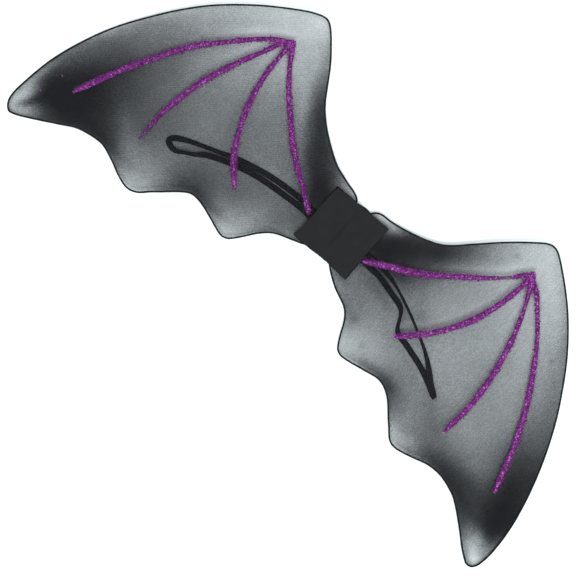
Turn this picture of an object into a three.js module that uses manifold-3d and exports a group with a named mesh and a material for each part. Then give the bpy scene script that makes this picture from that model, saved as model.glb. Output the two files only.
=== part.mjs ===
// Bat wings for a costume, lying on their back with the outer side up.
// Two wire loops covered in stretched stocking are held at their roots between two felt squares.
// Glitter ribs lie on the stocking, and two flat elastic arm loops come out from under the felt.
// +X runs along the right wing, +Y is up the wearer's back, and z = 0 is what the wings lie on.
import * as THREE from "three";
import { mergeVertices } from "three/addons/utils/BufferGeometryUtils.js";
import Module from "manifold-3d";

// Driving dimensions, in millimetres
const wingReach = 350; // from the middle line to the wire at the tip
const wingHeight = 306; // from the lowest point of a tip to the peak
const rootGap = 12; // between the two wires that run side by side under the felt
const wireDiameter = 1.6;
const stockingThickness = 1;
const archRise = 8; // how far the middle of a wing stands above a line from root to tip
const ribWidth = 5;
const ribThickness = 0.8;
const knuckleWidth = 9;
const ribTaper = 0.5; // share of its width that a rib loses at its end
const ribTaperPower = 6; // how late along the rib that happens
const padWidth = 70;
const padHeight = 69.5;
const padCorner = 1.5; // radius of the felt's cut corners
const feltThickness = 2;
const frontPadTurn = THREE.MathUtils.degToRad(3.6); // the felts were glued on a little askew
const backPadTurn = THREE.MathUtils.degToRad(4.6);
const frontPadShift = 1; // and a little towards the right wing
const backPadShift = 1.4;
const elasticWidth = 6;
const elasticThickness = 1;
const elasticEdge = 0.25; // share of the thickness by which its edges are rounded
const clearance = 0.3; // between pieces that touch on the real thing
const hemClearance = 0.5; // between the wire and the edge of the stocking that is stretched over it
const stockingEndGap = 1; // how far short of the wire the stocking's first and last columns stop

// How finely the round and bent shapes are divided
const wireSteps = 172;
const wireSides = 6;
const ribSteps = 22;
const ribSides = 6;
const elasticSteps = 62;
const stockingColumns = 58;
const stockingRows = 5;
const outlineSamples = 900;
const crowding = 0.35; // how much the stocking's columns crowd towards the steep leading edge at the tip

// The wire's outline, point by point round each loop: first the hidden root, then the top edge out to the
// tip, then the scalloped foot edge back. "along" is a share of the way from the root wire out to the reach,
// and "up" is a share of the wing's height. Each wing was bent by hand, so each has its own rows.
const leftOutline = [
  { along: 0.014, up: -0.090 }, { along: 0.001, up: -0.050 }, { along: 0.000, up: 0.040 },
  { along: 0.006, up: 0.090 }, { along: 0.015, up: 0.114 }, { along: 0.038, up: 0.127 },
  { along: 0.072, up: 0.133 }, { along: 0.131, up: 0.151 }, { along: 0.189, up: 0.184 },
  { along: 0.248, up: 0.228 }, { along: 0.292, up: 0.274 }, { along: 0.335, up: 0.343 },
  { along: 0.393, up: 0.418 }, { along: 0.448, up: 0.475 }, { along: 0.470, up: 0.484 },
  { along: 0.507, up: 0.468 }, { along: 0.565, up: 0.424 }, { along: 0.652, up: 0.348 },
  { along: 0.739, up: 0.253 }, { along: 0.797, up: 0.172 }, { along: 0.855, up: 0.072 },
  { along: 0.907, up: -0.034 }, { along: 0.942, up: -0.132 }, { along: 0.977, up: -0.278 },
  { along: 0.991, up: -0.409 }, { along: 0.992, up: -0.450 }, { along: 0.985, up: -0.483 },
  { along: 0.966, up: -0.502 }, { along: 0.945, up: -0.494 }, { along: 0.887, up: -0.455 },
  { along: 0.829, up: -0.413 }, { along: 0.771, up: -0.372 }, { along: 0.697, up: -0.357 },
  { along: 0.623, up: -0.380 }, { along: 0.545, up: -0.407 }, { along: 0.511, up: -0.393 },
  { along: 0.481, up: -0.356 }, { along: 0.422, up: -0.291 }, { along: 0.392, up: -0.265 },
  { along: 0.363, up: -0.260 }, { along: 0.304, up: -0.277 }, { along: 0.236, up: -0.296 },
  { along: 0.218, up: -0.290 }, { along: 0.196, up: -0.260 }, { along: 0.161, up: -0.196 },
  { along: 0.131, up: -0.163 }, { along: 0.073, up: -0.135 }, { along: 0.035, up: -0.115 },
];
const rightOutline = [
  { along: 0.014, up: -0.085 }, { along: 0.001, up: -0.045 }, { along: 0.000, up: 0.050 },
  { along: 0.006, up: 0.095 }, { along: 0.013, up: 0.121 }, { along: 0.031, up: 0.138 },
  { along: 0.068, up: 0.144 }, { along: 0.127, up: 0.161 }, { along: 0.185, up: 0.186 },
  { along: 0.244, up: 0.223 }, { along: 0.302, up: 0.292 }, { along: 0.360, up: 0.364 },
  { along: 0.418, up: 0.428 }, { along: 0.462, up: 0.469 }, { along: 0.481, up: 0.475 },
  { along: 0.499, up: 0.470 }, { along: 0.560, up: 0.426 }, { along: 0.647, up: 0.348 },
  { along: 0.734, up: 0.245 }, { along: 0.792, up: 0.162 }, { along: 0.851, up: 0.064 },
  { along: 0.909, up: -0.060 }, { along: 0.952, up: -0.181 }, { along: 0.984, up: -0.311 },
  { along: 0.997, up: -0.409 }, { along: 0.998, up: -0.455 }, { along: 0.991, up: -0.495 },
  { along: 0.976, up: -0.509 }, { along: 0.941, up: -0.491 }, { along: 0.883, up: -0.442 },
  { along: 0.825, up: -0.395 }, { along: 0.790, up: -0.371 }, { along: 0.737, up: -0.355 },
  { along: 0.678, up: -0.357 }, { along: 0.619, up: -0.377 }, { along: 0.555, up: -0.396 },
  { along: 0.534, up: -0.389 }, { along: 0.505, up: -0.358 }, { along: 0.447, up: -0.295 },
  { along: 0.388, up: -0.268 }, { along: 0.329, up: -0.279 }, { along: 0.248, up: -0.300 },
  { along: 0.231, up: -0.294 }, { along: 0.215, up: -0.267 }, { along: 0.186, up: -0.213 },
  { along: 0.156, up: -0.178 }, { along: 0.098, up: -0.148 }, { along: 0.032, up: -0.108 },
];

// The ribs of each wing, from the knuckle out, in the same shares. The last rib runs on to the felt,
// which covers its end.
const leftRibs = [
  [
    { along: 0.492, up: 0.340 }, { along: 0.522, up: 0.324 }, { along: 0.589, up: 0.261 },
    { along: 0.637, up: 0.196 }, { along: 0.679, up: 0.131 }, { along: 0.719, up: 0.065 },
    { along: 0.749, up: 0.000 }, { along: 0.806, up: -0.131 }, { along: 0.863, up: -0.297 },
  ],
  [
    { along: 0.492, up: 0.340 }, { along: 0.517, up: 0.317 }, { along: 0.537, up: 0.261 },
    { along: 0.572, up: 0.163 }, { along: 0.608, up: 0.033 }, { along: 0.618, up: -0.033 },
    { along: 0.627, up: -0.131 }, { along: 0.623, up: -0.258 },
  ],
  [
    { along: 0.489, up: 0.355 }, { along: 0.492, up: 0.310 }, { along: 0.488, up: 0.245 },
    { along: 0.479, up: 0.180 }, { along: 0.464, up: 0.108 }, { along: 0.444, up: 0.049 },
    { along: 0.409, up: -0.026 }, { along: 0.371, up: -0.082 }, { along: 0.304, up: -0.154 },
  ],
  [
    { along: 0.492, up: 0.340 }, { along: 0.482, up: 0.333 }, { along: 0.450, up: 0.291 },
    { along: 0.392, up: 0.216 }, { along: 0.333, up: 0.154 }, { along: 0.275, up: 0.098 },
    { along: 0.217, up: 0.051 }, { along: 0.159, up: 0.013 }, { along: 0.066, up: -0.047 },
  ],
];
const rightRibs = [
  [
    { along: 0.495, up: 0.346 }, { along: 0.533, up: 0.325 }, { along: 0.591, up: 0.263 },
    { along: 0.649, up: 0.194 }, { along: 0.707, up: 0.111 }, { along: 0.765, up: 0.018 },
    { along: 0.794, up: -0.042 }, { along: 0.824, up: -0.111 }, { along: 0.876, up: -0.271 },
  ],
  [
    { along: 0.495, up: 0.346 }, { along: 0.507, up: 0.330 }, { along: 0.536, up: 0.271 },
    { along: 0.565, up: 0.203 }, { along: 0.588, up: 0.137 }, { along: 0.610, up: 0.059 },
    { along: 0.626, up: -0.016 }, { along: 0.636, up: -0.082 }, { along: 0.640, up: -0.147 },
    { along: 0.635, up: -0.245 },
  ],
  [
    { along: 0.491, up: 0.368 }, { along: 0.494, up: 0.310 }, { along: 0.489, up: 0.245 },
    { along: 0.479, up: 0.180 }, { along: 0.463, up: 0.114 }, { along: 0.438, up: 0.049 },
    { along: 0.408, up: -0.010 }, { along: 0.373, up: -0.065 }, { along: 0.321, up: -0.131 },
  ],
  [
    { along: 0.495, up: 0.346 }, { along: 0.481, up: 0.342 }, { along: 0.446, up: 0.301 },
    { along: 0.388, up: 0.229 }, { along: 0.329, up: 0.167 }, { along: 0.271, up: 0.109 },
    { along: 0.213, up: 0.065 }, { along: 0.155, up: 0.028 }, { along: 0.074, up: -0.026 },
  ],
];

// Heights of the stack at the roots, from the floor up
const wingThickness = Math.max(wireDiameter, stockingThickness);
const rootLevel = feltThickness + elasticThickness + 2 * clearance + wingThickness / 2;
const tipLevel = wingThickness / 2;
const frontPadLevel = rootLevel + wingThickness / 2 + clearance;

// The wings stay flat as far out as the corners of the felt reach
const padReach = (padWidth * Math.cos(backPadTurn) + padHeight * Math.sin(backPadTurn)) / 2 + backPadShift;
const flatReach = padReach + 2 * clearance;

// The routes of the elastic, chosen by hand: out from between the felts and back. "on" is the height of what
// the elastic lies on there, and "roll" is how far it leans over onto one edge, in degrees.
const onFelt = feltThickness;
const onItself = elasticThickness + 2 * clearance;
const leftLoopRoute = [
  { x: -12, y: -4.5, on: onFelt, roll: 0 },
  { x: -24, y: -4.6, on: onFelt, roll: 0 },
  { x: -37, y: -4.8, on: onFelt, roll: 0 },
  { x: -45, y: -5, on: 0.9, roll: 0 },
  { x: -54, y: -5.2, on: 0, roll: 0 },
  { x: -70, y: -6.9, on: 0, roll: 0 },
  { x: -85, y: -9.2, on: 0, roll: 0 },
  { x: -100, y: -12.2, on: 0, roll: 0 },
  { x: -120, y: -18.1, on: 0, roll: 0 },
  { x: -135, y: -23.4, on: 0, roll: 15 },
  { x: -150, y: -30.3, on: 0, roll: 45 },
  { x: -165, y: -36.8, on: 0, roll: 45 },
  { x: -180, y: -43.4, on: 0, roll: 42 },
  { x: -189, y: -48.2, on: 0, roll: 35 },
  { x: -194.5, y: -53.6, on: 0, roll: 25 },
  { x: -195, y: -58.5, on: 0, roll: 25 },
  { x: -190.6, y: -61.2, on: 0, roll: 35 },
  { x: -184, y: -61.2, on: 0, roll: 48 },
  { x: -176, y: -57, on: 0, roll: 56 },
  { x: -167, y: -49.8, on: 0, roll: 50 },
  { x: -158, y: -42.3, on: 0, roll: 25 },
  { x: -148, y: -36.8, on: 0, roll: 5 },
  { x: -135, y: -31.2, on: 0, roll: 0 },
  { x: -120, y: -25.3, on: 0, roll: 0 },
  { x: -100, y: -19.5, on: 0, roll: 0 },
  { x: -85, y: -16.3, on: 0, roll: 0 },
  { x: -70, y: -13.8, on: 0, roll: 0 },
  { x: -54, y: -11.8, on: 0, roll: 0 },
  { x: -45, y: -11.4, on: 0.9, roll: 0 },
  { x: -37, y: -11.3, on: onFelt, roll: 0 },
  { x: -24, y: -11.3, on: onFelt, roll: 0 },
  { x: -12, y: -11.2, on: onFelt, roll: 0 },
];
const rightLoopRoute = [
  { x: 12, y: -6, on: onFelt, roll: 0 },
  { x: 24, y: -5.8, on: onFelt, roll: 0 },
  { x: 41, y: -5.6, on: onFelt, roll: 0 },
  { x: 49, y: -5.4, on: 0.9, roll: 0 },
  { x: 58, y: -5.2, on: 0, roll: 0 },
  { x: 70, y: -6, on: 0, roll: 0 },
  { x: 82, y: -7.9, on: 0, roll: 0 },
  { x: 93, y: -10.3, on: 0, roll: 10 },
  { x: 101, y: -12.2, on: 0, roll: 35 },
  { x: 106.5, y: -17, on: 0, roll: 60 },
  { x: 110.5, y: -24, on: 0, roll: 60 },
  { x: 115, y: -30.6, on: 0, roll: 55 },
  { x: 121, y: -34.6, on: 0, roll: 25 },
  { x: 130, y: -35.7, on: 0, roll: 5 },
  { x: 142, y: -38, on: 0, roll: 0 },
  { x: 155, y: -41, on: 0, roll: 0 },
  { x: 168, y: -45.2, on: 0, roll: 0 },
  { x: 180, y: -50, on: 0, roll: 0 },
  { x: 188, y: -53.4, on: 0, roll: 0 },
  { x: 192.2, y: -55.2, on: 0.6, roll: 0 },
  { x: 193.2, y: -55.6, on: onItself, roll: 0 },
  { x: 191.9, y: -55, on: 2.6, roll: 0 },
  { x: 187.5, y: -52.6, on: 3, roll: 0 },
  { x: 180, y: -47.8, on: onItself + 0.6, roll: 0 },
  { x: 170, y: -39.8, on: onItself, roll: 15 },
  { x: 160, y: -32.2, on: 0.4, roll: 45 },
  { x: 148, y: -25.6, on: 0, roll: 62 },
  { x: 132, y: -18.3, on: 0, roll: 72 },
  { x: 116, y: -11.4, on: 0, roll: 75 },
  { x: 100, y: -5.4, on: 0, roll: 75 },
  { x: 84, y: -0.4, on: 0, roll: 70 },
  { x: 70, y: 2.2, on: 0, roll: 48 },
  { x: 58, y: 3.2, on: 0.5, roll: 20 },
  { x: 46, y: 3.2, on: onFelt, roll: 0 },
  { x: 28, y: 2.6, on: onFelt, roll: 0 },
  { x: 12, y: 2.2, on: onFelt, roll: 0 },
];

// Colours and finishes
const wireMaterial = { color: 0x1c1c1f, roughness: 0.6, metalness: 0.0 };
const stockingMaterial = { color: 0x55595c, roughness: 0.9, metalness: 0.0 };
const glitterMaterial = { color: 0xa5329f, roughness: 0.35, metalness: 0.2 };
const feltMaterial = { color: 0x2e2f30, roughness: 1.0, metalness: 0.0 };
const elasticMaterial = { color: 0x1d1d20, roughness: 0.85, metalness: 0.0 };

const wasm = await Module();
wasm.setup();

const wings = new THREE.Group();

function addPiece(name, geometry, finish) {
  const mesh = new THREE.Mesh(geometry, new THREE.MeshStandardMaterial(finish));
  mesh.name = name;
  wings.add(mesh);
  return mesh;
}

// A closed geometry whose faces share their corners
function joined(geometry) {
  geometry.deleteAttribute("normal");
  geometry.deleteAttribute("uv");
  return mergeVertices(geometry, 1e-4);
}

function toSolid(geometry) {
  const shared = joined(geometry);
  return new wasm.Manifold(
    new wasm.Mesh({
      numProp: 3,
      vertProperties: Float32Array.from(shared.attributes.position.array),
      triVerts: Uint32Array.from(shared.index.array),
    }),
  );
}

function fromSolid(solid) {
  const result = solid.getMesh();
  const geometry = new THREE.BufferGeometry();
  geometry.setAttribute("position", new THREE.BufferAttribute(result.vertProperties, 3));
  geometry.setIndex(new THREE.BufferAttribute(result.triVerts, 1));
  return geometry;
}

// Height of the middle of the wire and the stocking, which depends only on the distance from the middle line
function levelAt(x) {
  const share = THREE.MathUtils.clamp((Math.abs(x) - flatReach) / (wingReach - flatReach), 0, 1);
  return THREE.MathUtils.lerp(rootLevel, tipLevel, share) + archRise * Math.sin(Math.PI * share);
}

// A row's place on the wing, with side -1 for the left wing and 1 for the right
function placeOf(row, side, lift = 0) {
  const x = side * THREE.MathUtils.lerp(rootGap / 2, wingReach, row.along);
  return new THREE.Vector3(x, row.up * wingHeight, levelAt(x) + lift);
}

function wireCurve(outline, side) {
  return new THREE.CatmullRomCurve3(
    outline.map((row) => placeOf(row, side)),
    true,
    "centripetal",
  );
}

function wireLoop(curve) {
  const geometry = new THREE.TubeGeometry(curve, wireSteps, wireDiameter / 2, wireSides, true);
  return joined(geometry);
}

// The two edges of the stocking, just inside the wire, each as points from the root out to the tip
function stockingEdges(curve, side) {
  const inset = wireDiameter / 2 + hemClearance;
  const points = curve.getSpacedPoints(outlineSamples).map((point, index, all) => {
    const before = all[(index + all.length - 1) % all.length];
    const after = all[(index + 1) % all.length];
    const direction = new THREE.Vector2(after.x - before.x, after.y - before.y).normalize();
    // each loop is drawn up its root, out along the top and back along the foot
    return new THREE.Vector2(point.x - side * -direction.y * inset, point.y - side * direction.x * inset);
  });
  const outward = points.map((point) => point.x * side);
  const innermost = outward.indexOf(Math.min(...outward));
  const outermost = outward.indexOf(Math.max(...outward));
  const top = points.slice(innermost, outermost + 1);
  const foot = points.slice(outermost).concat(points.slice(0, innermost + 1)).reverse();
  return { foot, top, inner: outward[innermost], outer: outward[outermost] };
}

// An edge's height at a distance from the middle line
function heightOn(edge, distance, side) {
  const index = edge.findIndex((point) => point.x * side >= distance);
  if (index <= 0) return edge[Math.max(index, 0)].y;
  const before = edge[index - 1];
  const after = edge[index];
  const share = (distance - before.x * side) / Math.max((after.x - before.x) * side, 1e-6);
  return THREE.MathUtils.lerp(before.y, after.y, share);
}

// The stocking of one wing: a flat box in many columns, bent to lie between the two edges along the arch
function stocking(curve, side) {
  const { foot, top, inner, outer } = stockingEdges(curve, side);
  const start = inner + stockingEndGap;
  const end = outer - stockingEndGap;
  const geometry = new THREE.BoxGeometry(1, 1, 1, stockingColumns, stockingRows, 1);
  const position = geometry.attributes.position;
  for (let index = 0; index < position.count; index += 1) {
    const even = 0.5 + side * position.getX(index);
    const crowded = THREE.MathUtils.lerp(even, Math.sin((even * Math.PI) / 2), crowding);
    const distance = THREE.MathUtils.lerp(start, end, crowded);
    const lower = heightOn(foot, distance, side);
    const upper = heightOn(top, distance, side);
    const y = THREE.MathUtils.lerp(lower, upper, position.getY(index) + 0.5);
    const x = side * distance;
    position.setXYZ(index, x, y, levelAt(x) + position.getZ(index) * stockingThickness);
  }
  return joined(geometry);
}

// A glitter rib: a cylinder bent along its curve and pressed flat, thinner towards its end
function rib(rows, side) {
  const lift = stockingThickness / 2 + clearance + ribThickness / 2;
  const curve = new THREE.CatmullRomCurve3(
    rows.map((row) => placeOf(row, side, lift)),
    false,
    "centripetal",
  );
  const geometry = new THREE.CylinderGeometry(1, 1, 1, ribSides, ribSteps);
  const position = geometry.attributes.position;
  const up = new THREE.Vector3(0, 0, 1);
  for (let index = 0; index < position.count; index += 1) {
    const share = position.getY(index) + 0.5;
    const point = curve.getPointAt(share);
    const across = curve.getTangentAt(share).cross(up).normalize();
    const halfWidth = (ribWidth / 2) * (1 - ribTaper * share ** ribTaperPower);
    point.addScaledVector(across, position.getX(index) * halfWidth);
    // the rib follows the arch on both sides of its middle line
    const z = levelAt(point.x) + lift + (position.getZ(index) * ribThickness) / 2;
    position.setXYZ(index, point.x, point.y, z);
  }
  return toSolid(geometry);
}

function knuckle(row, side) {
  const lift = stockingThickness / 2 + clearance + ribThickness / 2;
  const geometry = new THREE.CylinderGeometry(knuckleWidth / 2, knuckleWidth / 2, ribThickness, 2 * ribSides);
  geometry.rotateX(Math.PI / 2);
  const centre = placeOf(row, side, lift);
  geometry.translate(centre.x, centre.y, centre.z);
  return toSolid(geometry);
}

// A felt square with its corners just rounded, grown on every side by margin
function padOutline(margin) {
  const halfWidth = padWidth / 2 + margin;
  const halfHeight = padHeight / 2 + margin;
  const corner = padCorner + margin;
  const shape = new THREE.Shape();
  shape.moveTo(halfWidth - corner, -halfHeight);
  shape.absarc(halfWidth - corner, corner - halfHeight, corner, -Math.PI / 2, 0);
  shape.absarc(halfWidth - corner, halfHeight - corner, corner, 0, Math.PI / 2);
  shape.absarc(corner - halfWidth, halfHeight - corner, corner, Math.PI / 2, Math.PI);
  shape.absarc(corner - halfWidth, corner - halfHeight, corner, Math.PI, 1.5 * Math.PI);
  return shape;
}

function pad(level, thickness, turn, shift, margin = 0) {
  const geometry = new THREE.ExtrudeGeometry(padOutline(margin), {
    depth: thickness,
    bevelEnabled: false,
    curveSegments: 4,
  });
  geometry.rotateZ(turn);
  geometry.translate(shift, 0, level);
  return geometry;
}

// All ribs of a wing as one body, cut back clear of the felt that covers the end of the last one
function ribs(rows, side) {
  const keepClear = toSolid(pad(0, frontPadLevel + feltThickness, frontPadTurn, frontPadShift, clearance));
  const body = rows
    .map((row) => rib(row, side))
    .reduce((sum, solid) => sum.add(solid), knuckle(rows[0][0], side))
    .subtract(keepClear);
  return fromSolid(body);
}

// The path of a flat elastic, whose frames keep its section level apart from its roll
class ElasticPath extends THREE.CatmullRomCurve3 {
  constructor(route) {
    const points = route.map(({ x, y, on, roll }) => {
      const lean = THREE.MathUtils.degToRad(roll);
      const lift = (elasticWidth * Math.sin(lean) + elasticThickness * Math.cos(lean)) / 2;
      return new THREE.Vector3(x, y, on + clearance + lift);
    });
    super(points, false, "centripetal");
    this.rolls = route.map(({ roll }) => THREE.MathUtils.degToRad(roll));
  }

  computeFrenetFrames(segments) {
    const frames = { tangents: [], normals: [], binormals: [] };
    const up = new THREE.Vector3(0, 0, 1);
    const lastSide = new THREE.Vector3();
    for (let index = 0; index <= segments; index += 1) {
      const share = index / segments;
      const tangent = this.getTangentAt(share);
      const side = up.clone().cross(tangent).normalize();
      // where the elastic folds back over itself, its section doesn't turn round
      if (side.dot(lastSide) < 0) side.negate();
      lastSide.copy(side);
      const place = this.getUtoTmapping(share) * (this.rolls.length - 1);
      const row = Math.min(Math.floor(place), this.rolls.length - 2);
      const roll = THREE.MathUtils.lerp(this.rolls[row], this.rolls[row + 1], place - row);
      side.applyAxisAngle(tangent, roll);
      frames.tangents.push(tangent);
      frames.normals.push(side.clone().cross(tangent));
      frames.binormals.push(side);
    }
    return frames;
  }
}

// Flat elastic with its edges just rounded, along its route
function elastic(route) {
  const halfThickness = elasticThickness / 2;
  const halfWidth = elasticWidth / 2;
  const edge = elasticThickness * elasticEdge;
  const section = new THREE.Shape([
    new THREE.Vector2(halfThickness, halfWidth - edge),
    new THREE.Vector2(halfThickness - edge, halfWidth),
    new THREE.Vector2(edge - halfThickness, halfWidth),
    new THREE.Vector2(-halfThickness, halfWidth - edge),
    new THREE.Vector2(-halfThickness, edge - halfWidth),
    new THREE.Vector2(edge - halfThickness, -halfWidth),
    new THREE.Vector2(halfThickness - edge, -halfWidth),
    new THREE.Vector2(halfThickness, edge - halfWidth),
  ]);
  const extrudePath = new ElasticPath(route);
  return joined(new THREE.ExtrudeGeometry(section, { steps: elasticSteps, extrudePath }));
}

for (const [name, side, outline, rows, route] of [
  ["left", -1, leftOutline, leftRibs, leftLoopRoute],
  ["right", 1, rightOutline, rightRibs, rightLoopRoute],
]) {
  const curve = wireCurve(outline, side);
  addPiece(`frame_${name}`, wireLoop(curve), wireMaterial);
  addPiece(`mesh_${name}`, stocking(curve, side), stockingMaterial);
  addPiece(`veins_${name}`, ribs(rows, side), glitterMaterial);
  addPiece(`arm_loop_${name}`, elastic(route), elasticMaterial);
}

addPiece("pad_back", joined(pad(0, feltThickness, backPadTurn, backPadShift)), feltMaterial);
addPiece("pad_front", joined(pad(frontPadLevel, feltThickness, frontPadTurn, frontPadShift)), feltMaterial);

export default wings;
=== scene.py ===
# %% [markdown]
# # Costume bat wings
#
# The real wings are two loops of craft wire. A black stocking is pulled over each loop until it is
# nearly see-through, glitter glue is drawn on it as ribs, and the roots are glued between two squares
# of felt. Two loops of flat elastic go round the arms.
#
# The construction is already settled in the fixed frame that this script loads. Each step below makes
# one of the real pieces as a finer mesh in the same place, with the material that it has in life.

import math

import bmesh
import bpy
import numpy as np
from mathutils import Matrix, Vector, kdtree, noise


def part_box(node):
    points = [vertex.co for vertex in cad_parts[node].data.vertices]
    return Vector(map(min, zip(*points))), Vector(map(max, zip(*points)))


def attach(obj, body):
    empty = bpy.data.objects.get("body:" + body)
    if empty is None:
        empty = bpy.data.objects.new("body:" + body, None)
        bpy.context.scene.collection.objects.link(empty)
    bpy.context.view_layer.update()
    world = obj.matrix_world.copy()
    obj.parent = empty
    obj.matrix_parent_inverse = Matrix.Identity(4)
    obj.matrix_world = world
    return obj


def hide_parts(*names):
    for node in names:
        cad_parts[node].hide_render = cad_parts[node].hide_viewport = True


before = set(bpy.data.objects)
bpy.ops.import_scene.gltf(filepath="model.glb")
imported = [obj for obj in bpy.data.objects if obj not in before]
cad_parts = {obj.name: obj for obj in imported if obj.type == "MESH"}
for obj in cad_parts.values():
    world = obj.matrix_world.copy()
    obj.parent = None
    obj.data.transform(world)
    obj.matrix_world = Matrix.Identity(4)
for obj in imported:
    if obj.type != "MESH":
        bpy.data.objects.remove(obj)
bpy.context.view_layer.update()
MM = 0.001
SIDES = {"left": -1, "right": 1}
print("nodes of the frame:", sorted(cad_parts))

# %% [markdown]
# ## Camera
#
# The wings were photographed lying flat, from straight above, and turned by nearly 45 degrees. A lens
# close to them would make the arched middle of each wing look larger than its tip, so a long lens far
# away is used, as a product photographer would. The camera looks straight down and is only turned about
# its own line of sight.

# %% Camera
VIEW_TURN = math.radians(44.57)
VIEW_CENTRE = Vector((1.89, -81.17, 6.0)) * MM
VIEW_FIELD = 605.75 * MM
LENS = 200.0
SENSOR = 36.0

camera_data = bpy.data.cameras.new("camera")
camera_data.lens = LENS
camera_data.sensor_width = SENSOR
camera = bpy.data.objects.new("camera", camera_data)
bpy.context.scene.collection.objects.link(camera)
camera.location = VIEW_CENTRE + Vector((0, 0, VIEW_FIELD * LENS / SENSOR))
camera.rotation_euler = (0, 0, VIEW_TURN)
bpy.context.scene.camera = camera
print("camera height:", round(camera.location.z, 3), "m")

# %% [markdown]
# ## Smooth lines
#
# Wire, elastic and glue all follow a line. A few points are enough for it if a smooth curve runs
# through them. The curve used here is the centripetal Catmull-Rom spline: it passes through every point
# and makes no small loop where two points lie close together. It is then cut into even steps, so that
# nothing that is swept along it is squeezed or drawn out.

# %% Smooth lines
FINE = 16


def smooth_line(points, step, closed=False):
    """Evenly spaced places on the curve through points, where each lies in the list, and the length."""
    points = np.asarray(points, float)
    if closed:
        line = np.vstack([points[-1:], points, points[:2]])
    else:
        line = np.vstack([2 * points[0] - points[1], points, 2 * points[-1] - points[-2]])
    gaps = np.sqrt(np.linalg.norm(np.diff(line, axis=0), axis=1))[:, None]
    first, start, end, last = line[:-3], line[1:-2], line[2:-1], line[3:]
    gap_in, gap, gap_out = gaps[:-2], gaps[1:-1], gaps[2:]
    leave = gap * ((start - first) / gap_in - (end - first) / (gap_in + gap) + (end - start) / gap)
    arrive = gap * ((end - start) / gap - (last - start) / (gap + gap_out) + (last - end) / gap_out)
    places = []
    marks = []
    for index in range(len(start)):
        for share in np.arange(FINE) / FINE:
            square = share * share
            cube = square * share
            place = (2 * cube - 3 * square + 1) * start[index] + (3 * square - 2 * cube) * end[index]
            place = place + (cube - 2 * square + share) * leave[index] + (cube - square) * arrive[index]
            places.append(place)
            marks.append(index + share)
    places.append(end[-1])
    marks.append(len(start))
    return even_steps(np.array(places), np.array(marks, float), step)


def even_steps(places, marks, step):
    """The same line cut into steps of one length."""
    gone = np.concatenate([[0], np.cumsum(np.linalg.norm(np.diff(places, axis=0), axis=1))])
    want = np.linspace(0, gone[-1], max(2, round(gone[-1] / step)) + 1)
    even = np.column_stack([np.interp(want, gone, column) for column in places.T])
    return even, np.interp(want, gone, marks), gone[-1]


# %% [markdown]
# ## Sweeping a section
#
# A tube, a ribbon and a bead of glue are all one small outline that travels along a line. The outline
# starts as a circle of a few vertices that is pressed into shape. Its edges are then extruded again and
# again, and each new ring is carried on to its place. The alternative, a curve object with a bevel, can't
# lean over or change its width as freely as real elastic and glue do.

# %% Sweeping a section
UP = Vector((0, 0, 1))


def place_matrix(spot, side, forward, width=1.0, height=1.0):
    """Carries the outline's x to side, its y to what is square to side, and its z along the line."""
    across = Vector(side).normalized()
    along = Vector(forward).normalized()
    above = along.cross(across).normalized()
    turn = Matrix((across * width, above * height, along)).transposed().to_4x4()
    return Matrix.Translation(Vector(spot)) @ turn


def sweep(bm, outline, places, closed=False, across=None, along=None, gone=None):
    """A skin through copies of one outline, a list of (x, y), at every place.

    Each vertex can keep its outline's x in the layer across, from -1 to 1, and how far along the line
    it lies in the layer along. An extruded vertex takes over what its source holds.
    """
    ring = bmesh.ops.create_circle(bm, segments=len(outline), radius=1.0)["verts"]
    widest = max(abs(x) for x, y in outline)
    for vert, (x, y) in zip(ring, outline):
        vert.co = (x, y, 0)
        if across is not None:
            vert[across] = x / widest
    edges = list({edge for vert in ring for edge in vert.link_edges})
    first_edges = edges
    bmesh.ops.transform(bm, matrix=places[0], verts=ring)
    for number in range(1, len(places)):
        grown = bmesh.ops.extrude_edge_only(bm, edges=edges)["geom"]
        verts = [item for item in grown if isinstance(item, bmesh.types.BMVert)]
        fresh = set(verts)
        edges = [
            item
            for item in grown
            if isinstance(item, bmesh.types.BMEdge) and item.verts[0] in fresh and item.verts[1] in fresh
        ]
        step = places[number] @ places[number - 1].inverted()
        bmesh.ops.transform(bm, matrix=step, verts=verts)
        if along is not None:
            for vert in verts:
                vert[along] = gone[number]
    if closed:
        bmesh.ops.bridge_loops(bm, edges=first_edges + edges)
    else:
        bmesh.ops.contextual_create(bm, geom=first_edges)
        bmesh.ops.contextual_create(bm, geom=edges)
    return ring


def finish_piece(bm, name, material, node, smooth=True):
    """Turns a bmesh into a piece that rides on the frame and stands for a node of it."""
    mesh = bpy.data.meshes.new(name)
    for face in bm.faces:
        face.smooth = smooth
    bm.to_mesh(mesh)
    bm.free()
    mesh.materials.append(material)
    piece = bpy.data.objects.new(name, mesh)
    bpy.context.scene.collection.objects.link(piece)
    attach(piece, "root")
    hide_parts(node)
    print(name, "has", len(mesh.polygons), "faces")
    return piece


# %% [markdown]
# ## Nodes for the materials
#
# Each finish below is a small graph of nodes. One helper adds a node, sets its values and links what
# feeds it, so that the graphs stay short enough to read.

# %% Nodes for the materials
def new_material(name, colour, roughness, specular=0.5):
    """A material with its tree and its main shader."""
    material = bpy.data.materials.new(name)
    material.use_nodes = True
    tree = material.node_tree
    shader = tree.nodes["Principled BSDF"]
    shader.inputs["Base Color"].default_value = (*colour, 1)
    shader.inputs["Roughness"].default_value = roughness
    shader.inputs["Specular IOR Level"].default_value = specular
    return material, tree, shader


def put(tree, kind, inputs, **settings):
    """Adds a node. A socket among its inputs is linked, and a plain value is set."""
    made = tree.nodes.new(kind)
    for name, value in settings.items():
        setattr(made, name, value)
    for name, value in inputs.items():
        if isinstance(value, bpy.types.NodeSocket):
            tree.links.new(value, made.inputs[name])
        else:
            made.inputs[name].default_value = value
    return made


def compute(tree, operation, one, two=0.0):
    """One step of arithmetic between two sockets or numbers."""
    return put(tree, "ShaderNodeMath", {0: one, 1: two}, operation=operation).outputs[0]


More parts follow.
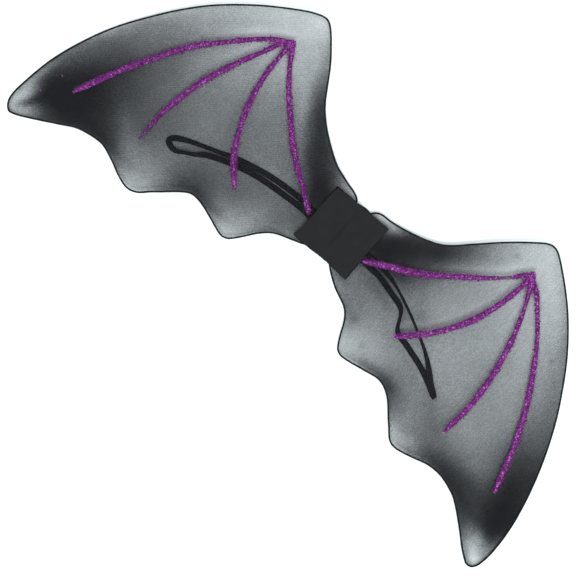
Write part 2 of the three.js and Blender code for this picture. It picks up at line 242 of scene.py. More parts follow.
def object_place(tree):
    """Where a point lies on the piece, in metres."""
    return put(tree, "ShaderNodeTexCoord", {}).outputs["Object"]


def attribute(tree, name):
    """A number that the mesh carries at every vertex."""
    return put(tree, "ShaderNodeAttribute", {}, attribute_name=name).outputs["Fac"]


def grain(tree, place, size, detail=2.0):
    """Cloudy noise, from 0 to 1, with spots of about this size in metres."""
    values = {"Vector": place, "Scale": 1 / size, "Detail": detail}
    return put(tree, "ShaderNodeTexNoise", values).outputs["Fac"]


def raise_surface(tree, shader, height, distance, strength=1.0):
    """Bumps the surface by a height that runs from 0 to 1."""
    bump = put(tree, "ShaderNodeBump", {"Height": height, "Distance": distance, "Strength": strength})
    tree.links.new(bump.outputs["Normal"], shader.inputs["Normal"])


def shade(tree, shader, amount, dark, light, painted_shade_dimming=1.0):
    """Colours the surface between two tones, and dims the result by a last factor for painted shade."""
    mix = put(tree, "ShaderNodeMix", {0: amount}, data_type="RGBA")
    mix.inputs["A"].default_value = (*dark, 1)
    mix.inputs["B"].default_value = (*light, 1)
    dimmed = put(tree, "ShaderNodeVectorMath", {0: mix.outputs["Result"], "Scale": painted_shade_dimming},
                 operation="SCALE")
    tree.links.new(dimmed.outputs["Vector"], shader.inputs["Base Color"])


# %% [markdown]
# ## Elastic arm loops
#
# Each arm loop is a length of flat braided elastic, sold as 6 mm wide and a little wider where it lies
# flat. It comes out from between the felts, lies on the floor under the wing and goes back. Because it
# is limp, parts of it have rolled over onto one edge. A simulation would let it fall flat, so the lie
# that the elastic really took is kept as a chosen route instead, with how far it leans at each point.
# The section has a row of fine cords, as braided elastic does, and is turned about the line by that
# lean.
#
# The left loop bends round in the open. The right loop is folded back on itself at its end.

# %% Routes of the elastic
# x and y in mm, the height in mm of what it lies on, and its lean in degrees
LEFT_LOOP = [
    (-12, -4.5, 2, 0), (-24, -4.6, 2, 0), (-37, -4.8, 2, 0), (-45, -5, 0.9, 0), (-54, -4.9, 0, 0),
    (-70, -6.6, 0, 0), (-85, -8.9, 0, 0), (-100, -12.2, 0, 0), (-120, -18.1, 0, 0),
    (-135, -23.4, 0, 15), (-150, -30.3, 0, 45), (-165, -36.8, 0, 45), (-180, -43.7, 0, 36),
    (-189.5, -49.2, 0, 10), (-195.6, -54, 0, 10), (-196.6, -58.8, 0, 10), (-191.6, -61.4, 0, 12),
    (-184, -61.2, 0, 38), (-176, -56.3, 0, 56), (-167, -50.2, 0, 50), (-158, -42.3, 0, 25),
    (-148, -36.8, 0, 5), (-135, -30.8, 0, 0), (-120, -25.1, 0, 0), (-100, -19.5, 0, 0),
    (-85, -16.7, 0, 0), (-70, -14.4, 0, 0), (-54, -12.2, 0, 0), (-45, -11.4, 0.9, 0),
    (-37, -11.3, 2, 0), (-24, -11.3, 2, 0), (-12, -11.2, 2, 0),
]
RIGHT_LOOP = [
    (12, -6, 2, 0), (24, -5.8, 2, 0), (41, -5.6, 2, 0), (49, -5.4, 0.9, 0), (58, -4.8, 0, 0),
    (70, -6.2, 0, 0), (82, -8.5, 0, 0), (93, -10.5, 0, 10), (101, -13, 0, 35), (105.9, -17.6, 0, 60),
    (110, -24.5, 0, 60), (114.4, -31.1, 0, 55), (121, -34.9, 0, 25), (130, -36, 0, 5),
    (142, -38.4, 0, 0), (155, -41.2, 0, 0), (168, -45.2, 0, 0), (180, -50, 0, 0), (188, -53.7, 0, 0),
    (192.4, -55.5, 0.6, 0), (193.4, -55.9, 1.6, 0), (191.9, -55, 2.6, 0), (187.5, -52.6, 3, 0),
    (180, -47.8, 2.2, 0), (170, -40.1, 1.6, 15), (160, -32.8, 0.4, 42), (148, -25.8, 0, 60),
    (132, -18.5, 0, 68), (116, -11.7, 0, 66), (100, -5.8, 0, 66), (84, -0.7, 0, 66), (70, 2.2, 0, 48),
    (58, 3.2, 0.5, 20), (46, 3.2, 2, 0), (28, 2.6, 2, 0), (12, 2.2, 2, 0),
]
ELASTIC_WIDTH = 6.5
ELASTIC_THICKNESS = 1.0
TOUCH_GAP = 0.3
print("points in the routes:", len(LEFT_LOOP), len(RIGHT_LOOP))

# %% Finish of the elastic
def elastic_finish():
    """Black braid: fine cords along it and the short slant of the threads across them."""
    material, tree, shader = new_material("elastic", (0.008, 0.008, 0.009), 0.85, 0.12)
    across = attribute(tree, "across")
    along = attribute(tree, "along")
    slant = compute(tree, "ADD", compute(tree, "MULTIPLY", along, 2 * math.pi / (1.1 * MM)),
                    compute(tree, "MULTIPLY", compute(tree, "ABSOLUTE", across), 6.0))
    thread = compute(tree, "SINE", slant)
    fuzz = grain(tree, object_place(tree), 0.5 * MM)
    height = compute(tree, "ADD", compute(tree, "MULTIPLY", thread, 0.35), fuzz)
    shade(tree, shader, height, (0.02, 0.0196, 0.022), (0.042, 0.041, 0.046))
    raise_surface(tree, shader, height, 0.12 * MM)
    return material


# %% Arm loops
ELASTIC_CORDS = 7
ELASTIC_STEP = 1.6 * MM
ELASTIC_POINTS = 44
# The elastic is pinched where it is folded sharply: how much of its width, and over what reach
PINCH = 0.25
PINCH_REACH = 1.8 * MM
FOLD_LIFT = 1.0
PAD_REACH = 60


def elastic_outline():
    """A flat oval with a row of shallow cords on both faces."""
    outline = []
    for number in range(ELASTIC_POINTS):
        angle = 2 * math.pi * number / ELASTIC_POINTS
        x = math.copysign(abs(math.cos(angle)) ** 0.55, math.cos(angle))
        y = math.copysign(abs(math.sin(angle)) ** 0.35, math.sin(angle))
        cord = 1 - 0.16 * (0.5 + 0.5 * math.cos(x * math.pi * ELASTIC_CORDS))
        outline.append((x * ELASTIC_WIDTH / 2 * MM, y * cord * ELASTIC_THICKNESS / 2 * MM))
    return outline


def arm_loop(name, route, material):
    """The elastic of one wing, swept along its route."""
    centres = []
    for x, y, on, lean in route:
        roll = math.radians(lean)
        lift = (ELASTIC_WIDTH * math.sin(roll) + ELASTIC_THICKNESS * math.cos(roll)) / 2
        centres.append((x * MM, y * MM, (on + TOUCH_GAP + lift) * MM))
    line, marks, length = smooth_line(centres, ELASTIC_STEP)
    rolls = np.interp(marks, range(len(route)), [math.radians(row[3]) for row in route])
    forward = np.gradient(line, axis=0)
    places = []
    last_side = Vector((0, 0, 0))
    folds = [centre for row, centre in zip(route, centres)
             if row[2] > FOLD_LIFT and abs(row[0]) > PAD_REACH]
    for spot, direction, roll in zip(line, forward, rolls):
        side = UP.cross(Vector(direction)).normalized()
        if side.dot(last_side) < 0:
            side.negate()
        last_side = side.copy()
        side = Matrix.Rotation(roll, 3, Vector(direction)) @ side
        width = 1.0
        if folds:
            end = max(folds, key=lambda fold: abs(fold[0]))
            width -= PINCH * math.exp(-((abs(spot[0] - end[0]) / PINCH_REACH) ** 2))
        places.append(place_matrix(spot, side, direction, width))
    bm = bmesh.new()
    along = bm.verts.layers.float.new("along")
    across = bm.verts.layers.float.new("across")
    gone = np.linspace(0, length, len(line))
    sweep(bm, elastic_outline(), places, across=across, along=along, gone=gone)
    bmesh.ops.recalc_face_normals(bm, faces=bm.faces)
    piece = finish_piece(bm, f"elastic_{name}", material, f"arm_loop_{name}")
    print(f"elastic_{name} is", round(length, 3), "m long")
    return piece


elastic = elastic_finish()
arm_loop("left", LEFT_LOOP, elastic)
arm_loop("right", RIGHT_LOOP, elastic)

# %% [markdown]
# ## Floor and light
#
# The wings lie on a white sweep that was lit until it went pure white, which is why they seem cut out.
# What can be seen through the stocking is that white floor, so the floor and the light have to be right
# before the cloth can be judged. A pale dome gives the even fill. One broad lamp at the foot of the
# picture throws the soft shadow that lies on the floor beside each glitter rib. The light is a little
# cool, which the clipped floor hides and the grey of the cloth shows. The plain view transform is used,
# because one that rolls off the highlights would turn the white floor grey.

# %% Floor and light
FILL = 1.18
KEY = 1.85
KEY_TILT = math.radians(24)
KEY_TURN = VIEW_TURN - math.pi / 2
KEY_SPREAD = math.radians(20)
COOL = (0.885, 0.972, 1.0)
FLOOR_SIZE = 12.0

floor_mesh = bpy.data.meshes.new("floor")
bm = bmesh.new()
bmesh.ops.create_grid(bm, x_segments=1, y_segments=1, size=FLOOR_SIZE / 2)
bm.to_mesh(floor_mesh)
bm.free()
floor = bpy.data.objects.new("floor", floor_mesh)
bpy.context.scene.collection.objects.link(floor)
floor_material = new_material("floor", (0.93, 0.93, 0.93), 0.9, 0.1)[0]
floor_mesh.materials.append(floor_material)

world = bpy.data.worlds.new("studio")
world.use_nodes = True
world.node_tree.nodes["Background"].inputs["Color"].default_value = (*COOL, 1)
world.node_tree.nodes["Background"].inputs["Strength"].default_value = FILL
bpy.context.scene.world = world
bpy.context.scene.view_settings.view_transform = "Standard"

key_data = bpy.data.lights.new("key", "SUN")
key_data.energy = KEY
key_data.angle = KEY_SPREAD
key_data.color = COOL
key = bpy.data.objects.new("key", key_data)
key.rotation_euler = (0, KEY_TILT, KEY_TURN)
key.location = (1, 0, 3)
bpy.context.scene.collection.objects.link(key)
print("fill", FILL, "and key", KEY)

# %% [markdown]
# ## The line of the wire
#
# The frame already holds each loop as a plain tube of short straight stretches. Its rings of vertices are
# read back from there, and the middle of each ring is one point of the wire's line. Nothing has to be
# measured twice, and the stocking and the hem follow the same line. Wire that was bent by hand is never
# quite smooth, so at a few places the line is pushed out or in by about a millimetre.

# %% The line of the wire
RING_REACH = 2.0 * MM
WIRE_STEP = 1.6 * MM


def ring_centres(node):
    """The middle of each ring of vertices of a swept tube, in order along it."""
    spots = {tuple(round(value, 6) for value in vert.co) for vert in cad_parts[node].data.vertices}
    spots = sorted(spots)
    tree = kdtree.KDTree(len(spots))
    for number, spot in enumerate(spots):
        tree.insert(spot, number)
    tree.balance()
    used = set()
    centres = []
    for number, spot in enumerate(spots):
        if number in used:
            continue
        near = [item[1] for item in tree.find_range(spot, RING_REACH) if item[1] not in used]
        used.update(near)
        centres.append(np.mean([spots[item] for item in near], axis=0))
    return chain(centres)


def chain(centres):
    """Puts the points of a closed line in order, each next to the one that lies nearest."""
    left = list(range(1, len(centres)))
    order = [0]
    while left:
        here = centres[order[-1]]
        nearest = min(left, key=lambda number: np.linalg.norm(centres[number] - here))
        order.append(nearest)
        left.remove(nearest)
    return np.array([centres[number] for number in order])


# How far out the whole loop springs, in mm
WIRE_EASE = 0.3
# Where the wire was bent by hand: x and y in mm, reach in mm, and how far out in mm
WIRE_BENDS = {
    "left": [
        (-340, -85, 62, 1.6), (-196, 134, 38, 0.6), (-118, 104, 13, -0.9), (-36, 46, 8, 0.6),
        (-57, -58, 22, 1.3), (-132, -82, 11, 1.1), (-162, -106, 15, 0.6), (-212, -121, 8, 0.7),
        (-262, -112, 17, 1.3),
    ],
    "right": [
        (262, 76, 38, 0.7), (347, -105, 48, 0.9), (78, 60, 20, -0.9), (36, -42, 17, 1.3),
        (77, -77, 15, 1.3), (112, -88, 22, 0.9), (167, -97, 18, 1.4), (212, -120, 16, 0.8),
        (270, -113, 15, 0.9),
    ],
}


def bend_wire(line, bends, side):
    """Moves the line outwards, or inwards where the amount is below 0, near each bend."""
    ahead = np.roll(line, -1, axis=0) - np.roll(line, 1, axis=0)
    out = np.column_stack([-ahead[:, 1], ahead[:, 0]]) * side
    out /= np.linalg.norm(out, axis=1)[:, None]
    push = np.full(len(line), WIRE_EASE)
    for x, y, reach, amount in bends:
        away = np.hypot(line[:, 0] / MM - x, line[:, 1] / MM - y)
        push += amount * np.exp(-((away / reach) ** 2))
    bent = line.copy()
    bent[:, :2] += out * push[:, None] * MM
    return bent


wire_lines = {}
for name, side in SIDES.items():
    centres = ring_centres(f"frame_{name}")
    area = np.sum(centres[:, 0] * np.roll(centres[:, 1], -1) - np.roll(centres[:, 0], -1) * centres[:, 1])
    if area * side > 0:
        centres = centres[::-1]
    line, marks, length = smooth_line(centres, WIRE_STEP, closed=True)
    wire_lines[name] = bend_wire(line[:-1], WIRE_BENDS[name], side)
    print(f"wire of the {name} wing:", len(centres), "rings,", round(length, 3), "m round")

# %% [markdown]
# ## Hem of each loop
#
# The wire itself is hidden. The stocking wraps round it, so what shows is a thin black cord of gathered
# nylon. It is swept as a tube a little thicker than the wire. Its size wanders slightly along the loop,
# and a fine slanting bump stands for the gathers.

# %% Hem of each loop
HEM_RADIUS = 0.98
HEM_SIDES = 10
HEM_WANDER = 0.10


def hem_finish():
    """Stocking gathered tightly round the wire."""
    material, tree, shader = new_material("hem", (0.008, 0.008, 0.009), 0.8, 0.12)
    place = object_place(tree)
    gathers = grain(tree, place, 0.9 * MM, 3.0)
    shade(tree, shader, gathers, (0.004, 0.004, 0.0045), (0.012, 0.012, 0.013))
    raise_surface(tree, shader, gathers, 0.2 * MM)
    return material


def hem(name, material):
    """The black cord round one wing."""
    line = wire_lines[name]
    forward = np.roll(line, -1, axis=0) - np.roll(line, 1, axis=0)
    places = []
    for spot, direction in zip(line, forward):
        lump = 1 + HEM_WANDER * noise.noise(Vector(spot) / (5 * MM))
        places.append(place_matrix(spot, UP.cross(Vector(direction)), direction, lump, lump))
    angles = np.arange(HEM_SIDES) * 2 * math.pi / HEM_SIDES
    outline = [(HEM_RADIUS * MM * math.cos(angle), HEM_RADIUS * MM * math.sin(angle)) for angle in angles]
    bm = bmesh.new()
    sweep(bm, outline, places, closed=True)
    bmesh.ops.recalc_face_normals(bm, faces=bm.faces)
    return finish_piece(bm, f"hem_{name}", material, f"frame_{name}")


hem_material = hem_finish()
for name in SIDES:
    hem(name, hem_material)

# %% [markdown]
# ## How dark the stocking is
#
# Stretched nylon is clear where it is pulled hard and black where it is slack, because the same threads
# cover more or less of the floor behind them. So one number at each vertex is enough: how much light a
# layer stops there. It starts from an even tension and is changed by soft patches: taut over the peak
# and the points of the scallops, slack in the hollows between them, at the root, and at the toe, where
# the stocking is knitted thicker. Each patch is an oval with a place, a reach both ways, a turn and a
# strength. The large ones set the main tones, and the small ones are the creases, drawn threads and
# smudges in them. Some thin ones are painted shade and light instead: dark strips along the foot edge
# stand for shade on the floor under the arched wire, and a few light strips beside the ribs weaken the
# ribs' cast shadows. A painted image would hold all this too, but ovals can be read and moved.

# %% How dark the stocking is
# x and y in mm, reach along and across in mm, turn in degrees, strength and, for a firm edge, how firm
EVEN = {"left": 0.515, "right": 0.4}
# Painted shade: the cloth is made denser in a narrow strip beside the wire, where it lies in shade
PAINTED_WIRE_SHADE = 0.12
PAINTED_WIRE_SHADE_REACH = 3.4
SOFT_EDGE = 1.0
PATCHES = {
    "left": [
        # Near the root
        (-70, 14, 30, 5, -28, -0.08), (-58, -54, 20, 5, 38, 0.07), (-52, -38, 14, 14, 0, 0.05),
        (-43, 3, 8, 4, -40, 0.14), (-72, -50, 10, 14, 0, -0.06), (-37, -41, 14, 5, 17, -0.12),
        (-33, 40, 12, 5, 0, 0.1), (-50, 45, 80, 34, -50, 0.66), (-66, 30, 40, 12, -50, 0.25),
        (-47, 12, 14, 14, 0, 0.4, 1.4), (-57, 11, 14, 6, -40, -0.2), (-38, 27, 8, 8, 0, -0.17),
        (-72, 32, 26, 8, -35, 0.08), (-45, 37, 12, 5, -10, 0.1), (-36, 39, 28, 9, -10, -0.4),
        (-20, 46, 20, 16, 0, -0.6),
        # Upper edge
        (-160, 80, 10, 12, 0, -0.05), (-100, 72, 20, 5, -45, 0.06), (-143, 92, 30, 8, -58, 0.07),
        (-111, 72, 10, 7, 0, -0.08), (-96, 72, 14, 5, -50, 0.1), (-103, 80, 14, 4, -52, 0.08),
        (-138, 116, 22, 5, -55, 0.06), (-135, 100, 24, 6, -58, -0.05), (-138, 88, 46, 12, -58, -0.09),
        (-108, 78, 30, 11, -60, 0.25), (-92, 64, 38, 8, -38, 0.14), (-108, 88, 38, 5, -52, 0.09),
        (-105, 50, 55, 9, -47, -0.14),
        # Outer edge and peak
        (-205, 142, 115, 78, 8, -0.26), (-166, 140, 13, 7, 0, -0.06), (-310, -45, 16, 14, 0, -0.08),
        (-320, -14, 40, 3, 66, -0.16), (-319, -35, 28, 7, 68, 0.08), (-262, 62, 30, 10, 52, -0.07),
        # The first oval on the next line is painted light, which weakens the first rib's cast shadow
        (-215, 85, 45, 8, 42, -0.07), (-201, 92, 36, 3, 43, -0.1), (-215, 93, 28, 5, 44, 0.06),
        (-288, 38, 36, 4, 55, -0.14),
        # Middle
        (-245, -52, 16, 26, 20, -0.06), (-243, -2, 12, 28, 0, 0.06), (-262, 0, 24, 34, 0, 0.08),
        (-178, 80, 50, 35, 0, -0.06), (-212, 45, 12, 24, -15, -0.06), (-192, 38, 14, 12, 0, -0.04),
        (-197, 74, 26, 5, 58, -0.09), (-231, 26, 16, 10, 70, -0.05), (-181, 76, 14, 4, 88, -0.05),
        (-187, 34, 12, 9, 0, -0.04), (-150, 30, 12, 12, 0, -0.04), (-162, 62, 22, 30, 0, -0.04),
        (-156, -6, 26, 4, 118, 0.05), (-150, 15, 42, 46, 0, 0.05), (-200, -40, 16, 26, 0, 0.08),
        (-206, -52, 40, 14, 107, 0.035), (-103, -48, 10, 20, 0, 0.08), (-90, -4, 26, 6, 11, -0.06),
        (-125, -57, 26, 16, 0, 0.08), (-90, -30, 50, 30, 0, 0.09),
        # Foot edge, where the strips along the wire are mostly painted shade of the floor under the
        # arched wire
        (-258, -107, 38, 10, 3, 0.28), (-255, -81, 24, 8, 15, -0.1), (-262, -110, 40, 7, 3, 0.3),
        (-275, -99, 12, 7, 30, -0.1), (-223, -96, 16, 9, -20, -0.12), (-222, -104, 10, 6, 0, -0.08),
        (-275, -114, 24, 5, 12, 0.08), (-272, -113, 14, 4, 15, 0.1), (-250, -108, 26, 4, 5, 0.09),
        (-224, -114, 18, 4, -20, 0.13), (-243, -76, 38, 11, -32, -0.15),
        (-190, -132, 45, 42, 0, -0.24), (-137, -90, 42, 24, 115, 0.34), (-148, -87, 28, 11, 30, 0.17),
        (-165, -75, 24, 16, 0, 0.08), (-155, -93, 22, 7, 45, 0.1), (-125, -77, 24, 6, 0, 0.08),
        (-128, -78, 28, 5, 3, 0.2), (-152, -90, 20, 5, 45, 0.13), (-163, -102, 22, 4, 46, 0.2),
        (-128, -81, 22, 4, 3, 0.14), (-124, -76, 22, 4, 0, -0.05), (-84, -92, 32, 32, 0, -0.25),
        # Tip
        (-291, -88, 72, 66, 0, 0.62, 1.4), (-297, -100, 38, 32, 0, 0.36, 1.6),
        (-311, -106, 20, 20, 0, 0.3, 1.4), (-284, -120, 18, 4, 28, 0.12),
        (-334, -60, 80, 13, 74, -0.34), (-342, -95, 32, 6, 80, -0.24), (-333, -118, 14, 6, 70, -0.22),
        (-322, -118, 10, 7, 80, 0.2), (-306, -118, 16, 9, 0, -0.13), (-321, -88, 10, 10, 0, -0.1),
        (-336, -75, 26, 5, 72, 0.1), (-293, -70, 34, 9, 75, 0.07), (-290, -52, 26, 5, 68, 0.06),
        (-314, -68, 18, 7, 72, -0.06), (-293, -90, 14, 24, 0, 0.17), (-301, -104, 18, 10, 0, 0.14),
        (-321, -68, 18, 8, 75, -0.08), (-318, -137, 18, 8, 30, -0.07), (-316, -124, 12, 7, 0, -0.08),
        (-346, -130, 12, 4, 90, 0.12), (-304, -120, 9, 4, 0, -0.1), (-338, -140, 34, 22, -35, -0.42),
        (-329, -131, 16, 4, 60, 0.34), (-341, -114, 14, 7, 85, -0.07),
    ],
    "right": [
        # Near the root
        (40, 28, 58, 42, 0, 0.68, 1.6), (56, 36, 12, 10, 30, 0.08), (16, 38, 14, 5, 16, -0.2),
        (49, -9, 13, 7, 22, -0.12), (35, -39, 14, 5, -3, -0.12), (42, 38, 14, 8, 40, -0.25),
        (38, 30, 6, 12, 0, -0.17), (52, 28, 6, 8, 0, 0.08), (46, 20, 11, 14, 0, 0.3, 1.4),
        (70, 27, 14, 6, 30, -0.1), (33, -34, 12, 6, -10, 0.08), (32, -36, 16, 6, -10, 0.08),
        (58, -48, 30, 7, -35, 0.05), (55, 25, 22, 20, 0, 0.28, 1.4), (66, 42, 8, 12, 0, 0.07),
        (70, -20, 30, 7, -5, 0.06), (63, -36, 14, 10, 0, 0.03), (32, 43, 28, 8, 8, -0.3),
        (70, -57, 14, 10, 0, 0.12), (22, 48, 24, 14, 0, -0.6), (50, -40, 30, 25, 0, 0.1),
        # Upper edge
        (82, 80, 45, 28, 50, 0.5, 1.5), (97, 65, 32, 12, 48, 0.2), (88, 57, 18, 10, 35, 0.22),
        (95, 50, 10, 8, 0, 0.08), (80, 58, 14, 7, 20, 0.07), (92, 68, 28, 5, 40, 0.07),
        (118, 72, 12, 10, 45, 0.05), (88, 60, 12, 5, 30, 0.06), (141, 96, 18, 7, 48, 0.06),
        (163, 106, 30, 8, 39, 0.03), (136, 74, 40, 5, 43, -0.09), (120, 88, 10, 6, 40, -0.06),
        (83, 60, 14, 5, 30, 0.06), (125, 78, 36, 12, 48, 0.05), (130, 108, 34, 6, 45, 0.07),
        # The first oval on the next line is painted light, which weakens a rib's cast shadow
        (160, 104, 22, 7, 42, -0.08), (118, 88, 30, 10, 50, 0.05), (150, 112, 3, 3, 0, 0.15),
        (125, 88, 3, 3, 0, 0.15),
        # Outer edge and peak
        (190, 142, 85, 62, 0, -0.15), (322, -42, 10, 12, 0, -0.05), (308, -8, 14, 16, 0, -0.05),
        (276, 43, 38, 11, -55, 0.08), (248, 82, 26, 6, -50, 0.1), (262, 70, 24, 4, -58, 0.07),
        (285, 30, 26, 9, -60, 0.05), (210, 116, 48, 5, -38, 0.06), (310, -20, 18, 9, -60, -0.09),
        (253, 58, 3, 3, 0, 0.15),
        # Middle
        (153, 60, 16, 12, 0, 0.03), (132, 36, 18, 9, 35, 0.04), (110, 48, 26, 9, 40, 0.04),
        # The second oval on the next line is painted light, which weakens a rib's cast shadow
        (121, 43, 20, 6, 36, 0.04), (152, 25, 40, 6, 68, -0.05), (190, 78, 52, 38, 0, -0.06),
        (111, 2, 16, 20, 0, 0.05), (82, 10, 10, 6, 0, 0.1), (123, -5, 7, 6, 0, 0.1),
        (85, -17, 28, 6, -5, 0.06), (160, -52, 36, 6, -18, 0.07), (117, -48, 14, 8, -10, 0.05),
        (140, -46, 16, 6, -8, 0.04), (85, -20, 22, 8, -10, 0.035), (122, -3, 13, 9, 44, 0.045),
        (144, -17, 18, 5, 58, 0.04), (95, -33, 34, 17, 0, 0.08), (232, 50, 30, 14, -55, -0.03),
        (205, -15, 14, 40, 5, 0.03), (217, -36, 6, 30, 0, 0.06), (245, -28, 16, 16, 0, 0.04),
        (200, 32, 14, 22, 0, -0.03), (230, 45, 14, 30, 20, -0.03), (186, -60, 22, 16, 98, 0.035),
        (262, -57, 20, 7, 152, 0.03), (75, -55, 3, 3, 0, 0.15),
        # Foot edge, where the strips along the wire are mostly painted shade of the floor under the
        # arched wire
        (162, -74, 16, 8, -10, -0.06), (140, -75, 16, 6, 0, -0.05), (262, -112, 60, 30, -10, 0.45),
        (268, -102, 34, 13, 0, 0.22), (262, -104, 40, 9, -8, 0.14), (280, -105, 16, 6, -15, -0.14),
        (234, -111, 22, 4, 14, 0.12), (268, -107, 20, 3, 0, 0.07), (262, -108, 45, 6, -8, 0.26),
        (195, -125, 30, 25, 0, -0.14), (208, -106, 12, 8, 0, -0.1), (222, -101, 14, 6, 0, -0.09),
        (210, -67, 12, 18, 0, 0.07), (195, -68, 12, 16, 20, 0.08), (216, -78, 12, 8, 0, 0.1),
        (150, -92, 26, 22, 90, 0.45), (98, -82, 18, 5, 15, -0.05), (189, -115, 12, 5, 157, -0.07),
        (143, -82, 16, 8, 0, 0.13), (135, -81, 28, 6, 5, 0.08), (135, -79, 30, 5, 3, 0.18),
        (126, -84, 30, 4, 4, 0.16), (156, -89, 14, 5, -48, 0.12), (158, -78, 14, 5, -25, -0.07),
        (222, -115, 18, 4, 20, 0.16), (168, -90, 8, 8, 0, 0.08), (86, -90, 32, 32, 0, -0.12),
        (100, -70, 3, 3, 0, 0.15),
        # Tip
        (335, -60, 50, 95, 0, 0.7, 1.3), (326, -80, 36, 14, 82, 0.28), (320, -80, 22, 6, -68, 0.1),
        (330, -106, 18, 4, -75, 0.08), (332, -76, 5, 8, 0, -0.07), (333, -100, 16, 24, 0, 0.28, 1.4),
        (346, -118, 7, 12, 0, -0.15), (335, -108, 7, 14, 0, 0.1), (333, -126, 14, 6, -20, -0.1),
        (343, -148, 8, 8, 0, -0.08), (313, -64, 8, 18, 15, 0.1), (300, -97, 14, 16, 0, -0.08),
        (308, -110, 20, 9, -15, -0.14), (335, -107, 6, 22, 10, 0.08), (334, -60, 8, 12, 0, -0.15),
        (322, -122, 20, 6, -25, -0.08), (285, -74, 16, 14, 0, -0.09), (291, -119, 20, 5, -35, 0.1),
        # The first oval on the next line is painted shade along the foot edge
        (312, -136, 40, 8, -38, 0.22), (328, -143, 32, 18, -15, -0.62), (330, -128, 14, 9, 0, -0.14),
        (308, -128, 9, 6, 0, -0.09), (331, -122, 10, 7, 0, -0.1), (347, -122, 17, 3, 96, -0.1),
    ],
}
LEAST_DEPTH = 0.08
MOST_DEPTH = 1.7


def depth_at(name, x, y):
    """How much light a layer of the stocking stops at points given in metres."""
    depth = np.full(np.shape(x), EVEN[name], float)
    for middle_x, middle_y, reach, breadth, turn, strength, *firm in PATCHES[name]:
        power = firm[0] if firm else SOFT_EDGE
        angle = math.radians(turn)
        east = x / MM - middle_x
        north = y / MM - middle_y
        one = (east * math.cos(angle) + north * math.sin(angle)) / reach
        two = (north * math.cos(angle) - east * math.sin(angle)) / breadth
        depth = depth + strength * np.exp(-((one * one + two * two) ** power))
    # Painted shade: a narrow strip of denser cloth beside the wire
    wire = wire_lines[name]
    near = np.min(np.hypot(x[:, None] - wire[:, 0], y[:, None] - wire[:, 1]), axis=1) / MM
    depth = depth + PAINTED_WIRE_SHADE * np.exp(-((near / PAINTED_WIRE_SHADE_REACH) ** 2))
    return np.clip(depth, LEAST_DEPTH, MOST_DEPTH)


spots = np.array([(-0.17, 0.13), (-0.29, -0.09)])
print("a taut spot and a slack one:", depth_at("left", spots[:, 0], spots[:, 1]))

# %% [markdown]
# ## Finish of the stocking
#
# A knit is far too fine to model thread by thread. What the eye sees of it is how unevenly it stops the
# light: streaks along the threads, streaks that cross them, and a faint beat where the two layers lie
# over each other. Each is a noise that is drawn out along one direction. Their sum makes the depth of
# each vertex a little more or less, and the depth gives the alpha, so the cloth is truly see-through
# and needs no picture of the floor painted on it.

# %% Finish of the stocking
BEAT_PITCH = 2.3 * MM
CROSS_TURN = math.radians(-45)
# Threads this dense hide how uneven they are
UNEVEN_LIMIT = 0.5
# The most that the unevenness takes away, as a share of the depth
CLEAREST = -0.9


def unevenness(tree, parts):
    """The sum of the parts, where each is a noise from 0 to 1 and how strongly it counts."""
    total = 0.0
    for noise_output, strength in parts:
        centred = compute(tree, "SUBTRACT", noise_output, 0.5)
        total = compute(tree, "ADD", total, compute(tree, "MULTIPLY", centred, strength))
    return compute(tree, "MAXIMUM", total, CLEAREST)


def turned_place(tree, place, angle):
    """The place in axes that are turned about z by an angle."""
    values = {"Vector": place, "Angle": angle}
    return put(tree, "ShaderNodeVectorRotate", values, rotation_type="Z_AXIS", invert=True).outputs[0]


def streaks_along(tree, place):
    """Noise that is drawn out along x, like threads of uneven thickness."""
    drawn_out = put(tree, "ShaderNodeMapping", {"Vector": place, "Scale": (0.12, 1, 1)}).outputs[0]
    return grain(tree, drawn_out, 1.5 * MM, 1.5)


def stocking_finish():
    """Sheer black knit. Its alpha follows the depth, and threads and specks make the depth uneven."""
    material, tree, shader = new_material("stocking", (0.0097, 0.0093, 0.0107), 0.9, 0.06)
    place = object_place(tree)
    turned = turned_place(tree, place, attribute(tree, "thread"))
    crossed = turned_place(tree, turned, CROSS_TURN)
    beat = put(tree, "ShaderNodeTexWave",
               {"Vector": turned, "Scale": math.pi / 10 / BEAT_PITCH, "Distortion": 3.0, "Detail": 2.0,
                "Detail Scale": 0.15},
               wave_type="BANDS", bands_direction="Y").outputs["Fac"]
    streaks = streaks_along(tree, turned)
    crossing = streaks_along(tree, crossed)
    specks = grain(tree, turned, 1.3 * MM, 1.0)
    mottle = grain(tree, place, 6 * MM, 2.0)
    parts = [(beat, 0.16), (streaks, 0.55), (crossing, 0.45), (specks, 1.6), (mottle, 0.2)]
    uneven = unevenness(tree, parts)
    depth = attribute(tree, "depth")
    change = compute(tree, "MULTIPLY", uneven, compute(tree, "MINIMUM", depth, UNEVEN_LIMIT))
    depth = compute(tree, "ADD", depth, change)
    clear = compute(tree, "EXPONENT", compute(tree, "MULTIPLY", depth, -1.0))
    tree.links.new(compute(tree, "SUBTRACT", 1.0, clear), shader.inputs["Alpha"])
    return material


# %% [markdown]
# ## Stocking of each wing
#
# A flat grid is a good start for cloth that is stretched over a loop: its columns run from the foot edge
# to the top edge, and its rows from the root to the tip. Each vertex moves to its share of the way
# between the two edges, at the height of the arched wire. The columns crowd towards the tip, where the
# leading edge is steep. The two layers of the real stocking lie on either side of the wire, so the grid
# is given a thickness and becomes one closed skin, whose rim is hidden in the hem.

# %% Edges of a wing
STOCKING_COLUMNS = 230
STOCKING_ROWS = 80
CROWDING = 0.55
END_GAP = 0.25
LAYER_GAP = 0.9
# Which way the threads of each wing run, and how far the second layer is turned from that
THREAD_TURN = {"left": math.radians(45), "right": math.radians(90)}
LAYER_TURN = math.radians(4)


